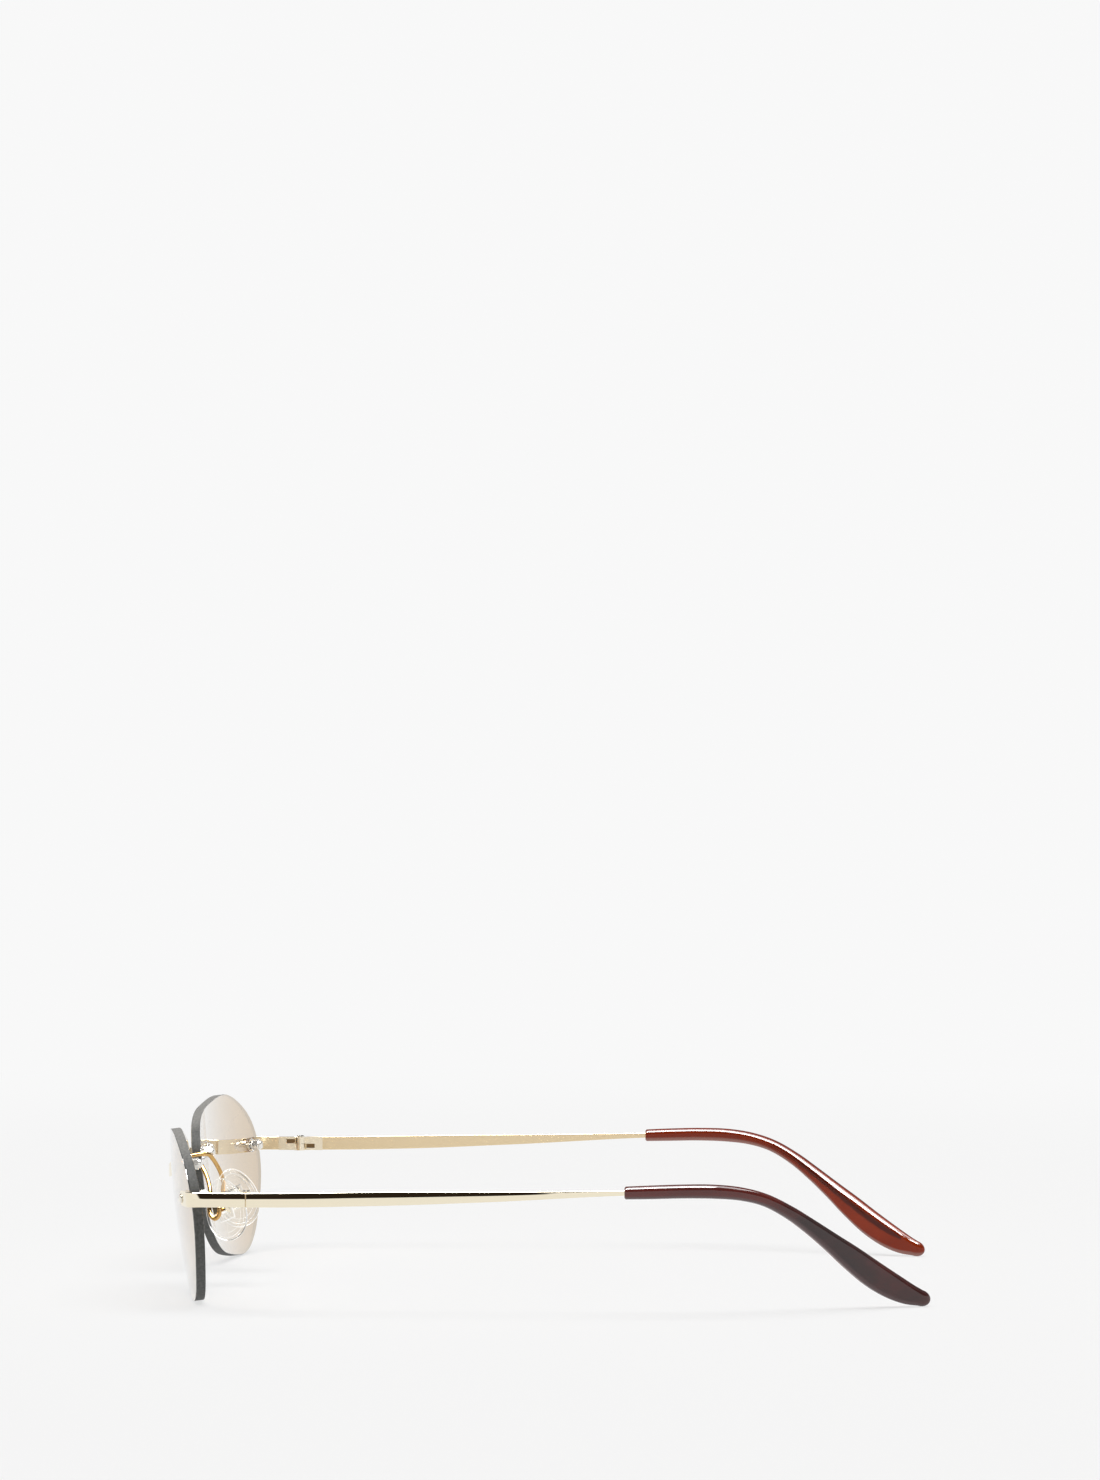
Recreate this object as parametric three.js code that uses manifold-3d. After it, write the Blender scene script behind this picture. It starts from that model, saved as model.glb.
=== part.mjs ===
// Rimless eyeglasses with gold strip temples, dark acetate tips and clear nose pads.
// Millimetres. +X is the wearer's left, +Y runs back to the temple tips, +Z is up.
// One side is modelled at X > 0 and mirrored for the other; the bridge is the only shared piece.
import * as THREE from "three";
import { mergeVertices } from "three/addons/utils/BufferGeometryUtils.js";
import Module from "manifold-3d";

const wasm = await Module();
wasm.setup();

const DEGREE = Math.PI / 180;
const UP = new THREE.Vector3(0, 0, 1);
const vec = (x, y, z) => new THREE.Vector3(x, y, z);

// ---- driving dimensions -----------------------------------------------------------------

// The hinges' seam is 13 mm behind Y = 0 of each side, and this is the middle of the object.
const MIDDLE_Y = 67.48;

const LENS = {
  radius: 149, // spherical front, the back is concentric
  thickness: 1.9,
  bevel: 0.15,
  centre: vec(38.5, -3.2, 16.54),
  wrap: 6.8 * DEGREE, // temporal side turned back
  tilt: 6.9 * DEGREE, // top turned forward
};

// Lens outline about its centre: temporal side +u, top +v.
const LENS_OUTLINE = [
  [28.8, 0.1], [28.2, 5.6], [25.1, 10.2], [20.3, 13.2], [15.2, 15.2], [9.8, 16.4], [4.1, 16.5],
  [-1.6, 16], [-7.3, 15.5], [-13, 15], [-18.6, 14], [-24, 12.3], [-28, 8.7], [-28.8, 3.2],
  [-27, -2.1], [-23.5, -6.6], [-19, -10.1], [-13.9, -12.7], [-8.6, -14.6], [-3, -15.6],
  [2.7, -16.3], [8.4, -16.8], [14, -16], [19.1, -13.5], [23.3, -9.7], [26.7, -5.2],
];

const TEMPORAL_HOLE = { u: 24.2, v: 4.6 };
const NASAL_HOLE = { u: -24.6, v: 6.9 };
const HOLE_RADIUS = 0.85;
const RIM_STEPS = 52;

const STRIP = {
  height: 2.76,
  thickness: 1.2,
  edge: 0.14, // broken corners
  roof: 0.36, // how far the upper outer facet leans in
  z: 21.5,
  x: 68.6, // middle of the strip beside the hinge
};
const LUG = { thickness: 0.95, gap: 0.06, radius: 1.48 };
const BRIDGE = { height: 2.6, thickness: 1.1, middle: vec(0, -7.5, 21.6) };

const SEAM = { y: 13, gap: 0.1 };
const HINGE = {
  axis: vec(66.9, SEAM.y, STRIP.z),
  lean: 1 * DEGREE, // the top leans a little outward, so a folded temple climbs as it crosses
  barrel: 0.98,
  bore: 0.5,
  screw: 0.45,
  top: 1.36,
  split: 0.05, // half the gap between the two knuckles
};

// Temple strip: y, x, z of its middle, height, thickness.
const TEMPLE = [
  [SEAM.y + SEAM.gap, 68.6, 21.5, 2.76, 1.2],
  [24, 68.6, 21.58, 2.76, 1.2],
  [35, 68.6, 21.8, 2.72, 1.2],
  [42, 68.85, 21.94, 2.6, 1.15],
  [52, 69.3, 22.2, 2.27, 1.1],
  [61, 69.6, 22.43, 1.93, 1.05],
  [71, 69.85, 22.78, 1.5, 1],
  [80, 70, 23.1, 1.13, 0.95],
  [85, 70, 23.24, 1, 0.9],
];

// Acetate tip: x, y, z of its middle, height, thickness.
const TIP = [
  [70, 85.2, 23.24, 2.5, 2.45],
  [70, 90, 23.38, 2.65, 2.6],
  [69.6, 96, 23.53, 2.7, 2.6],
  [68.6, 102, 23.42, 2.75, 2.6],
  [67, 107, 22.85, 2.6, 2.65],
  [65.2, 111.5, 21.55, 2.5, 2.7],
  [63.2, 116, 19.07, 2.66, 2.75],
  [60.8, 120, 16.15, 3.1, 2.8],
  [58.3, 124, 12.93, 3.84, 2.9],
  [55.9, 128, 9.6, 4.85, 3],
  [53.8, 132, 6.4, 5.35, 3],
  [52.3, 135.5, 4.1, 5.1, 2.9],
  [51.3, 138.5, 2.55, 4.3, 2.7],
  [50.6, 141, 1.65, 3.2, 2.4],
];
const TIP_ROUND_END = 2.1; // length of the rounded end past the last station
const TIP_CUSHION = 3; // superellipse power of its section
const TIP_SIDES = 14;
// Core wire inside the tip: x, y, z, height, thickness.
const CORE = [
  [70, 90, 23.38, 0.9, 0.85],
  [69.6, 96, 23.53, 0.9, 0.8],
  [68.6, 102, 23.42, 0.9, 0.8],
  [67, 107, 22.85, 0.9, 0.8],
  [65.2, 111.5, 21.55, 0.9, 0.8],
  [63.2, 116, 19.1, 0.9, 0.8],
  [60.8, 120, 16.25, 1, 0.8],
  [58.3, 124, 13.25, 1.1, 0.8],
  [55.9, 128, 10.2, 1.2, 0.8],
  [53.8, 132, 7.35, 1.25, 0.8],
  [52.3, 135.5, 5.15, 1.1, 0.8],
  [51.6, 137.8, 3.95, 0.8, 0.7],
];
const CORE_CLEARANCE = 0.12;
const CORE_STEPS = 20;

const PAD = {
  centre: vec(13.2, 4.4, 14.8),
  up: vec(-0.33, -0.28, 0.9),
  away: vec(0.93, -0.3, 0), // from the nose towards the lens
  height: 12.9,
  width: 8.6,
  thickness: 2,
  sides: 24,
};
const ARM_RADIUS = 0.45;
const ARM_ROUTE = [
  [8.9, -5.5, 22.9], [9, -4.5, 23.5], [9.2, -2.8, 23.85], [10.1, -1.2, 23.8], [11.2, -0.3, 22.7],
  [12.7, 0.8, 20.5], [14.3, 1.4, 18.1], [15.5, 1.3, 15.7], [16.5, 1.7, 13.9], [17.15, 2.6, 13.3],
  [17.35, 3.4, 14.1], [17.2, 3.45, 15.3],
];

// ---- materials --------------------------------------------------------------------------

const material = (color, roughness, metalness, opacity = 1) =>
  new THREE.MeshStandardMaterial({
    color,
    roughness,
    metalness,
    opacity,
    transparent: opacity < 1,
  });

const GOLD = material(0xe8c888, 0.16, 1);
const HARDWARE = material(0xd9c9a4, 0.22, 1);
const LENS_TINT = material(0xd9cfc2, 0.05, 0, 0.45);
const CLEAR = material(0xf4f4f2, 0.12, 0, 0.5);
const ACETATE = material(0x3a1c1a, 0.12, 0, 0.9);

// ---- solids -----------------------------------------------------------------------------

// A closed geometry as a solid, turned right side out if need be.
function toSolid(geometry) {
  const bare = new THREE.BufferGeometry();
  bare.setAttribute("position", geometry.getAttribute("position"));
  if (geometry.index) bare.setIndex(geometry.index);
  const merged = mergeVertices(bare, 1e-4);
  const triVerts = new Uint32Array(merged.index.array);
  const build = () =>
    new wasm.Manifold(
      new wasm.Mesh({
        numProp: 3,
        vertProperties: new Float32Array(merged.attributes.position.array),
        triVerts,
      }),
    );
  const solid = build();
  if (solid.volume() > 0) return solid;
  for (let i = 0; i < triVerts.length; i += 3)
    [triVerts[i + 1], triVerts[i + 2]] = [triVerts[i + 2], triVerts[i + 1]];
  return build();
}

function toGeometry(solid) {
  const mesh = solid.getMesh();
  const geometry = new THREE.BufferGeometry();
  geometry.setAttribute("position", new THREE.BufferAttribute(mesh.vertProperties, 3));
  geometry.setIndex(new THREE.BufferAttribute(mesh.triVerts, 1));
  return geometry;
}

const union = (...solids) => solids.reduce((all, next) => all.add(next));
const cut = (solid, ...tools) => tools.reduce((rest, tool) => rest.subtract(tool), solid);

// A solid through a row of rings with the same number of points, closed at both ends.
function loft(rings) {
  const count = rings[0].length;
  const positions = [];
  const index = [];
  const addPoint = (p) => positions.push(p.x, p.y, p.z) / 3 - 1;
  rings.forEach((ring) => ring.forEach(addPoint));
  for (let i = 0; i + 1 < rings.length; i++)
    for (let j = 0; j < count; j++) {
      const a = i * count + j;
      const b = i * count + ((j + 1) % count);
      index.push(a, b, b + count, a, b + count, a + count);
    }
  const closeEnd = (ring, first, flip) => {
    const middle = ring.reduce((sum, p) => sum.add(p), vec(0, 0, 0)).divideScalar(count);
    const centre = addPoint(middle);
    for (let j = 0; j < count; j++) {
      const pair = [first + j, first + ((j + 1) % count)];
      if (flip) pair.reverse();
      index.push(centre, pair[1], pair[0]);
    }
  };
  closeEnd(rings[0], 0, false);
  closeEnd(rings[rings.length - 1], (rings.length - 1) * count, true);
  const geometry = new THREE.BufferGeometry();
  geometry.setAttribute("position", new THREE.Float32BufferAttribute(positions, 3));
  geometry.setIndex(index);
  return toSolid(geometry);
}

// Stations are { at, up, section }, and a section is a list of [outward, upward] points.
function sweep(stations) {
  const rings = stations.map(({ at, up, section }, i) => {
    const before = stations[Math.max(i - 1, 0)].at;
    const after = stations[Math.min(i + 1, stations.length - 1)].at;
    const along = after.clone().sub(before).normalize();
    const outward = along.clone().cross(up).normalize();
    const upward = outward.clone().cross(along);
    return section.map(([a, b]) =>
      at.clone().addScaledVector(outward, a).addScaledVector(upward, b),
    );
  });
  return loft(rings);
}

// Strip section: flat inside, and an outer face whose upper part leans in by roof.
function stripSection(thickness, height, roof) {
  const a = thickness / 2;
  const b = height / 2;
  const e = Math.min(STRIP.edge, a / 2, b / 2);
  return [
    [-a, -b + e], [-a + e, -b], [a - e, -b], [a, -b + e], [a, b * 0.16],
    [a - roof, b - e], [a - roof - e, b], [-a + e, b], [-a, b - e],
  ];
}

function ovalSection(thickness, height, power, sides) {
  return Array.from({ length: sides }, (_, i) => {
    const angle = (i * 2 * Math.PI) / sides;
    const bend = (value) => Math.sign(value) * Math.abs(value) ** (2 / power);
    return [(bend(Math.cos(angle)) * thickness) / 2, (bend(Math.sin(angle)) * height) / 2];
  });
}

function boxBetween(low, high) {
  const size = high.clone().sub(low);
  const box = new THREE.BoxGeometry(size.x, size.y, size.z);
  const middle = low.clone().add(high).multiplyScalar(0.5);
  return toSolid(box.translate(middle.x, middle.y, middle.z));
}

// Turned piece about +Z from [radius, z] points.
function turned(profile, sides = 16, matrix = new THREE.Matrix4()) {
  const points = profile.map(([r, z]) => new THREE.Vector2(r, z));
  const lathe = new THREE.LatheGeometry(points, sides);
  return toSolid(lathe.rotateX(Math.PI / 2).applyMatrix4(matrix));
}

const rod = (radius, z0, z1, matrix, sides = 16) =>
  turned([[0, z0], [radius, z0], [radius, z1], [0, z1]], sides, matrix);

function piece(name, solid, finish) {
  const mesh = new THREE.Mesh(toGeometry(solid), finish);
  mesh.name = name;
  return mesh;
}

// ---- lens and what is bolted to it ------------------------------------------------------

const lensMatrix = new THREE.Matrix4()
  .makeRotationFromEuler(new THREE.Euler(LENS.tilt, 0, LENS.wrap, "ZYX"))
  .setPosition(LENS.centre);

// Depth of a lens surface behind the front pole; inset is 0 in front and the thickness behind.
function sag(u, v, inset = 0) {
  return LENS.radius - Math.sqrt((LENS.radius - inset) ** 2 - u * u - v * v);
}

// Frame of a hole: origin on the front surface, +Z through the lens towards its back.
function holeFrame({ u, v }) {
  const depth = sag(u, v);
  const inward = vec(-u, LENS.radius - depth, -v).normalize();
  const turn = new THREE.Quaternion().setFromUnitVectors(UP, inward);
  return new THREE.Matrix4().compose(vec(u, depth, v), turn, vec(1, 1, 1));
}

const holeInSide = (hole) => lensMatrix.clone().multiply(holeFrame(hole));

function lensSolid() {
  const points = LENS_OUTLINE.map(([u, v]) => vec(u, v, 0));
  const rim = new THREE.CatmullRomCurve3(points, true, "centripetal").getPoints(RIM_STEPS).slice(0, -1);
  const ring = (scale, inset, shift) =>
    rim.map((p) => {
      const u = p.x * scale;
      const v = p.y * scale;
      return vec(u, sag(u, v, inset) + shift, v);
    });
  const inner = [0.15, 0.36, 0.56, 0.74, 0.88];
  const shoulder = 1 - LENS.bevel / 20;
  const front = [...inner, shoulder].map((scale) => ring(scale, 0, 0));
  const back = [shoulder, ...inner.toReversed()].map((scale) => ring(scale, LENS.thickness, 0));
  const edge = [ring(1, 0, LENS.bevel), ring(1, LENS.thickness, -LENS.bevel)];
  const blank = loft([...front, ...edge, ...back]);
  const holes = [TEMPORAL_HOLE, NASAL_HOLE].map((hole) =>
    rod(HOLE_RADIUS, -1, LENS.thickness + 1, holeFrame(hole)),
  );
  return cut(blank, ...holes);
}

// Screw, flanged clear bush, washer and cap nut on one hole, with what lies in front as reach.
function fastenerSet(side, place, hole) {
  const group = new THREE.Group();
  group.applyMatrix4(holeFrame(hole));
  const back = LENS.thickness;
  const face = -LUG.thickness - LUG.gap;
  const screw = turned([
    [0, face - 0.45], [0.5, face - 0.4], [0.9, face - 0.18], [0.9, face - 0.03],
    [0.44, face - 0.03], [0.44, back + 1.95], [0.34, back + 2.1], [0, back + 2.1],
  ]);
  const bush = turned([
    [0.5, 0.1], [0.78, 0.1], [0.78, back + 0.08], [1.4, back + 0.08], [1.4, back + 0.5],
    [1.25, back + 0.62], [0.5, back + 0.62], [0.5, 0.1],
  ]);
  const washer = turned([
    [0.52, back + 0.68], [1.15, back + 0.68], [1.15, back + 0.88], [0.52, back + 0.88],
    [0.52, back + 0.68],
  ]);
  const nutBody = rod(1.22, back + 0.94, back + 1.95, new THREE.Matrix4(), 6);
  const nutCap = turned([
    [0, back + 1.5], [0.92, back + 1.5], [0.92, back + 2.2], [0.72, back + 2.55],
    [0.38, back + 2.72], [0, back + 2.76],
  ]);
  const nut = cut(union(nutBody, nutCap), rod(0.5, back + 0.5, back + 2.2));
  group.add(
    piece(`${side}_${place}_screw`, screw, HARDWARE),
    piece(`${side}_${place}_bush`, bush, CLEAR),
    piece(`${side}_${place}_washer`, washer, HARDWARE),
    piece(`${side}_${place}_nut`, nut, HARDWARE),
  );
  return group;
}

// A point of the lug's middle line over the lens front, and the up direction there.
function lugStation(u, v, section) {
  const surface = (du, dv) => vec(u + du, sag(u + du, v + dv), v + dv).applyMatrix4(lensMatrix);
  const at = surface(0, 0);
  const up = surface(0, 0.1).sub(at).normalize();
  const sideways = surface(0.1, 0).sub(at).normalize();
  const forward = sideways.cross(up).normalize();
  return { at: at.addScaledVector(forward, LUG.gap + LUG.thickness / 2), up, section };
}

// Heights that round off the end of a lug: how far in, and the height there.
function roundedEnd(height) {
  return [0.06, 0.25, 0.6, 1, LUG.radius].map((inset) => {
    const rest = LUG.radius - inset;
    const half = Math.sqrt(LUG.radius ** 2 - rest ** 2);
    return { inset, height: Math.min(height, 2 * half) };
  });
}

function endpiece() {
  const { u, v } = TEMPORAL_HOLE;
  const wide = 2 * LUG.radius;
  const lug = roundedEnd(wide).map(({ inset, height }) =>
    lugStation(u - LUG.radius + inset, v, stripSection(LUG.thickness, height, 0)),
  );
  const last = u + 3.5;
  lug.push(lugStation(last, v, stripSection(LUG.thickness, wide, 0)));
  const start = lug[lug.length - 1];
  const along = start.at.clone().sub(lug[lug.length - 2].at).normalize();
  const run = (STRIP.x - start.at.x) / along.x;
  const corner = start.at.clone().addScaledVector(along, run).setZ(STRIP.z);
  const finish = vec(STRIP.x, corner.y + run, STRIP.z);
  const bend = new THREE.QuadraticBezierCurve3(start.at, corner, finish);
  const steps = 8;
  const turn = bend.getPoints(steps).slice(1).map((at, i) => {
    const t = (i + 1) / steps;
    const thickness = THREE.MathUtils.lerp(LUG.thickness, STRIP.thickness, t);
    const height = THREE.MathUtils.lerp(wide, STRIP.height, t);
    return {
      at,
      up: start.up.clone().lerp(UP, t),
      section: stripSection(thickness, height, STRIP.roof * Math.max(0, 2 * t - 1)),
    };
  });
  const straight = [finish.y + 1, SEAM.y - SEAM.gap].map((y) => ({
    at: vec(STRIP.x, y, STRIP.z),
    up: UP,
    section: stripSection(STRIP.thickness, STRIP.height, STRIP.roof),
  }));
  const bore = rod(0.5, -LUG.thickness - 1, 0.5, holeInSide(TEMPORAL_HOLE));
  return cut(sweep([...lug, ...turn, ...straight]), bore);
}

// ---- bridge -----------------------------------------------------------------------------

function bridge() {
  const { u, v } = NASAL_HOLE;
  const lug = roundedEnd(BRIDGE.height).map(({ inset, height }) =>
    lugStation(u + LUG.radius - inset, v, stripSection(LUG.thickness, height, 0)),
  );
  lug.push(lugStation(u - 2, v, stripSection(LUG.thickness, BRIDGE.height, 0)));
  const start = lug[lug.length - 1];
  const rise = vec(start.at.x * 0.55, BRIDGE.middle.y, BRIDGE.middle.z);
  const arch = new THREE.QuadraticBezierCurve3(start.at, rise, BRIDGE.middle);
  const steps = 7;
  const half = arch.getPoints(steps).slice(1).map((at, i) => {
    const t = (i + 1) / steps;
    const thickness = THREE.MathUtils.lerp(LUG.thickness, BRIDGE.thickness, t);
    return {
      at,
      up: start.up.clone().lerp(UP, t),
      section: stripSection(thickness, BRIDGE.height, 0),
    };
  });
  const left = [...lug, ...half].toReversed();
  const mirror = ({ at, up, section }) => ({
    at: vec(-at.x, at.y, at.z),
    up: vec(-up.x, up.y, up.z),
    section,
  });
  const right = left.slice(1).map(mirror).toReversed();
  const bore = rod(0.5, -LUG.thickness - 1, 0.5, holeInSide(NASAL_HOLE));
  const flip = new THREE.Matrix4().makeScale(-1, 1, 1).multiply(holeInSide(NASAL_HOLE));
  const boreRight = rod(0.5, -LUG.thickness - 1, 0.5, flip);
  return cut(sweep([...right, ...left]), bore, boreRight);
}

// ---- hinge ------------------------------------------------------------------------------

const hingeMatrix = new THREE.Matrix4()
  .makeRotationY(HINGE.lean)
  .setPosition(HINGE.axis);

// Inner leaf along the strip, from near the seam to far, with its knuckle above or below.
function hingeLeaf(direction, upper) {
  const { axis, barrel, split, top } = HINGE;
  const inner = axis.x + 0.4;
  const outer = STRIP.x - STRIP.thickness / 2 - 0.02;
  const low = STRIP.z - top;
  const high = STRIP.z + top;
  const span = (from, to) => {
    const ends = [SEAM.y + direction * from, SEAM.y + direction * to];
    return [Math.min(...ends), Math.max(...ends)];
  };
  const [plateFront, plateBack] = span(1.2, 4.6);
  const [webFront, webBack] = span(0.05, 1.3);
  const [windowFront, windowBack] = span(1.1, 2.95);
  const half = upper ? [STRIP.z + split, high] : [low, STRIP.z - split];
  const other = upper ? [low + 0.45, STRIP.z - split] : [STRIP.z + split, high - 0.45];
  const plate = boxBetween(vec(inner, plateFront, low), vec(outer, plateBack, high));
  const web = boxBetween(vec(axis.x - 0.5, webFront, half[0]), vec(outer, webBack, half[1]));
  const knuckle = upper
    ? rod(barrel, split, top, hingeMatrix)
    : rod(barrel, -top, -split, hingeMatrix);
  const window = boxBetween(
    vec(inner - 1, windowFront, other[0]),
    vec(outer - 0.15, windowBack, other[1]),
  );
  const bore = rod(HINGE.bore, -3, 3, hingeMatrix);
  return cut(union(plate, web, knuckle), window, bore);
}

function hingeScrew() {
  const { screw, top } = HINGE;
  return turned(
    [
      [0, -top + 0.05], [screw - 0.08, -top + 0.05], [screw, -top + 0.15], [screw, top + 0.06],
      [0.8, top + 0.06], [0.8, top + 0.24], [0.62, top + 0.38], [0, top + 0.42],
    ],
    16,
    hingeMatrix,
  );
}

// ---- temple and tip ---------------------------------------------------------------------

// Smooth stations through rows of [x, y, z, height, thickness].
function smoothStations(rows, steps, makeSection) {
  const path = new THREE.CatmullRomCurve3(rows.map(([x, y, z]) => vec(x, y, z)));
  const size = new THREE.CatmullRomCurve3(rows.map(([, , , h, t]) => vec(h, t, 0)));
  return Array.from({ length: steps + 1 }, (_, i) => {
    const t = i / steps;
    const { x: height, y: thickness } = size.getPoint(t);
    return { at: path.getPoint(t), up: UP, section: makeSection(thickness, height) };
  });
}

const coreSection = (grow) => (thickness, height) =>
  stripSection(thickness + 2 * grow, height + 2 * grow, 0);

function temple() {
  const strip = TEMPLE.map(([y, x, z, height, thickness]) => {
    const roof = STRIP.roof * Math.max(0, (height - 1) / (STRIP.height - 1));
    return { at: vec(x, y, z), up: UP, section: stripSection(thickness, height, roof) };
  });
  return sweep([...strip, ...smoothStations(CORE, CORE_STEPS, coreSection(0))]);
}

function templeTip() {
  const body = smoothStations(TIP, 27, (thickness, height) =>
    ovalSection(thickness, height, TIP_CUSHION, TIP_SIDES),
  );
  const last = body[body.length - 1];
  const along = last.at.clone().sub(body[body.length - 2].at).normalize();
  const [, , , endHeight, endThickness] = TIP[TIP.length - 1];
  const roundEnd = [0.3, 0.55, 0.75, 0.9, 0.98].map((t) => ({
    at: last.at.clone().addScaledVector(along, TIP_ROUND_END * t),
    up: UP,
    section: ovalSection(
      endThickness * Math.sqrt(1 - t * t),
      endHeight * Math.sqrt(1 - t * t),
      TIP_CUSHION,
      TIP_SIDES,
    ),
  }));
  const [x, y, z, height, thickness] = TIP[0];
  const mouth = {
    at: vec(x, y - 0.25, z),
    up: UP,
    section: ovalSection(thickness - 0.5, height - 0.5, TIP_CUSHION, TIP_SIDES),
  };
  const shell = sweep([mouth, ...body, ...roundEnd]);
  const coreRows = TEMPLE.slice(-2).map(([cy, cx, cz, h, t]) => [cx, cy, cz, h, t]);
  const entry = coreRows.map(([cx, cy, cz, h, t]) => ({
    at: vec(cx, cy, cz),
    up: UP,
    section: coreSection(CORE_CLEARANCE)(t, h),
  }));
  const tunnel = smoothStations(CORE, CORE_STEPS, coreSection(CORE_CLEARANCE));
  const deepest = tunnel[tunnel.length - 1];
  const inward = deepest.at.clone().sub(tunnel[tunnel.length - 2].at).normalize();
  const bottom = { ...deepest, at: deepest.at.clone().addScaledVector(inward, 0.3) };
  return cut(shell, sweep([...entry, ...tunnel, bottom]));
}

// ---- nose pads --------------------------------------------------------------------------

// Pad frame: +Z up along the pad, +Y away from the nose, +X towards the front.
const padMatrix = (() => {
  const up = PAD.up.clone().normalize();
  const away = PAD.away.clone().addScaledVector(up, -PAD.away.dot(up)).normalize();
  const front = away.clone().cross(up);
  return new THREE.Matrix4().makeBasis(front, away, up).setPosition(PAD.centre);
})();

const PIVOT_Y = 1.75; // rocking axis above the pad's middle plane
const HOLDER = { inside: 1.0, wall: 0.35, plate: 2.95, half: 1.15 };

// Teardrop outline, wider at its lower end.
function padRing(scale, y) {
  return Array.from({ length: PAD.sides }, (_, i) => {
    const angle = (i * 2 * Math.PI) / PAD.sides;
    const x = Math.cos(angle) * (PAD.width / 2) * (1 - 0.14 * Math.sin(angle));
    const z = Math.sin(angle) * (PAD.height / 2);
    return vec(x * scale, y, z * scale);
  });
}

function nosePad() {
  const half = PAD.thickness / 2;
  const cushion = loft([
    padRing(0.45, -half), padRing(0.78, -half * 0.86), padRing(0.95, -half * 0.4),
    padRing(1, 0.1), padRing(0.94, half * 0.6), padRing(0.8, half * 0.75), padRing(0.3, half * 0.7),
  ]);
  const recess = boxBetween(vec(-1.65, half * 0.2, -2.3), vec(1.65, half + 1, 2.3));
  return cut(cushion, recess);
}

function padBoss() {
  const floor = PAD.thickness * 0.1 + 0.05;
  const flange = boxBetween(vec(-1.55, floor, -2.2), vec(1.55, floor + 0.5, 2.2));
  const stem = boxBetween(vec(-0.75, floor + 0.4, -0.85), vec(0.75, PIVOT_Y + 0.8, 0.85));
  const pivot = new THREE.Matrix4().makeRotationY(Math.PI / 2).setPosition(0, PIVOT_Y, 0);
  return cut(union(flange, stem), rod(0.36, -3, 3, pivot, 16));
}

function padHolder() {
  const { inside, wall, plate, half } = HOLDER;
  const outer = inside + wall;
  const cheek = (x0) => boxBetween(vec(x0, 0.95, -half), vec(x0 + wall, plate + wall, half));
  const back = boxBetween(vec(-outer, plate, -half), vec(outer, plate + wall, half));
  const pivot = new THREE.Matrix4().makeRotationY(Math.PI / 2).setPosition(0, PIVOT_Y, 0);
  return cut(union(cheek(-outer), cheek(inside), back), rod(0.36, -3, 3, pivot, 16));
}

function padScrew() {
  const outer = HOLDER.inside + HOLDER.wall;
  const pivot = new THREE.Matrix4().makeRotationY(Math.PI / 2).setPosition(0, PIVOT_Y, 0);
  const profile = [
    [0, -outer - 0.1], [0.3, -outer - 0.1], [0.3, outer + 0.05], [0.55, outer + 0.05],
    [0.55, outer + 0.3], [0.4, outer + 0.4], [0, outer + 0.42],
  ];
  return turned(profile, 16, pivot);
}

function padArm() {
  const route = new THREE.CatmullRomCurve3(ARM_ROUTE.map(([x, y, z]) => vec(x, y, z)));
  const sides = 8;
  const steps = 34;
  const { tangents, normals, binormals } = route.computeFrenetFrames(steps, false);
  const rings = tangents.map((_, i) =>
    Array.from({ length: sides }, (_unused, j) => {
      const angle = (j * 2 * Math.PI) / sides;
      return route
        .getPointAt(i / steps)
        .addScaledVector(normals[i], Math.cos(angle) * ARM_RADIUS)
        .addScaledVector(binormals[i], Math.sin(angle) * ARM_RADIUS);
    }),
  );
  return loft(rings);
}

// ---- one side ---------------------------------------------------------------------------

function sideGroup(side) {
  const name = (word) => `${side}_${word}`;
  const group = new THREE.Group();

  const front = new THREE.Group();
  front.applyMatrix4(lensMatrix);
  front.add(
    piece(name("lens"), lensSolid(), LENS_TINT),
    fastenerSet(side, "endpiece", TEMPORAL_HOLE),
    fastenerSet(side, "bridge", NASAL_HOLE),
  );

  const pad = new THREE.Group();
  pad.applyMatrix4(padMatrix);
  pad.add(
    piece(name("nose_pad"), nosePad(), CLEAR),
    piece(name("pad_boss"), padBoss(), CLEAR),
    piece(name("pad_holder"), padHolder(), GOLD),
    piece(name("pad_screw"), padScrew(), HARDWARE),
  );

  group.add(
    front,
    pad,
    piece(name("pad_arm"), padArm(), GOLD),
    piece(name("endpiece"), endpiece(), GOLD),
    piece(name("front_hinge_leaf"), hingeLeaf(-1, false), GOLD),
    piece(name("hinge_screw"), hingeScrew(), HARDWARE),
    piece(name("temple_hinge_leaf"), hingeLeaf(1, true), GOLD),
    piece(name("temple"), temple(), GOLD),
    piece(name("temple_tip"), templeTip(), ACETATE),
  );
  return group;
}

const eyeglasses = new THREE.Group();
const rightSide = sideGroup("right");
rightSide.scale.x = -1;
eyeglasses.add(sideGroup("left"), rightSide, piece("bridge", bridge(), GOLD));
eyeglasses.position.y = -MIDDLE_Y;

export default eyeglasses;
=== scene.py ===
import math

import bmesh
import bpy
from mathutils import Matrix, Vector


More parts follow.
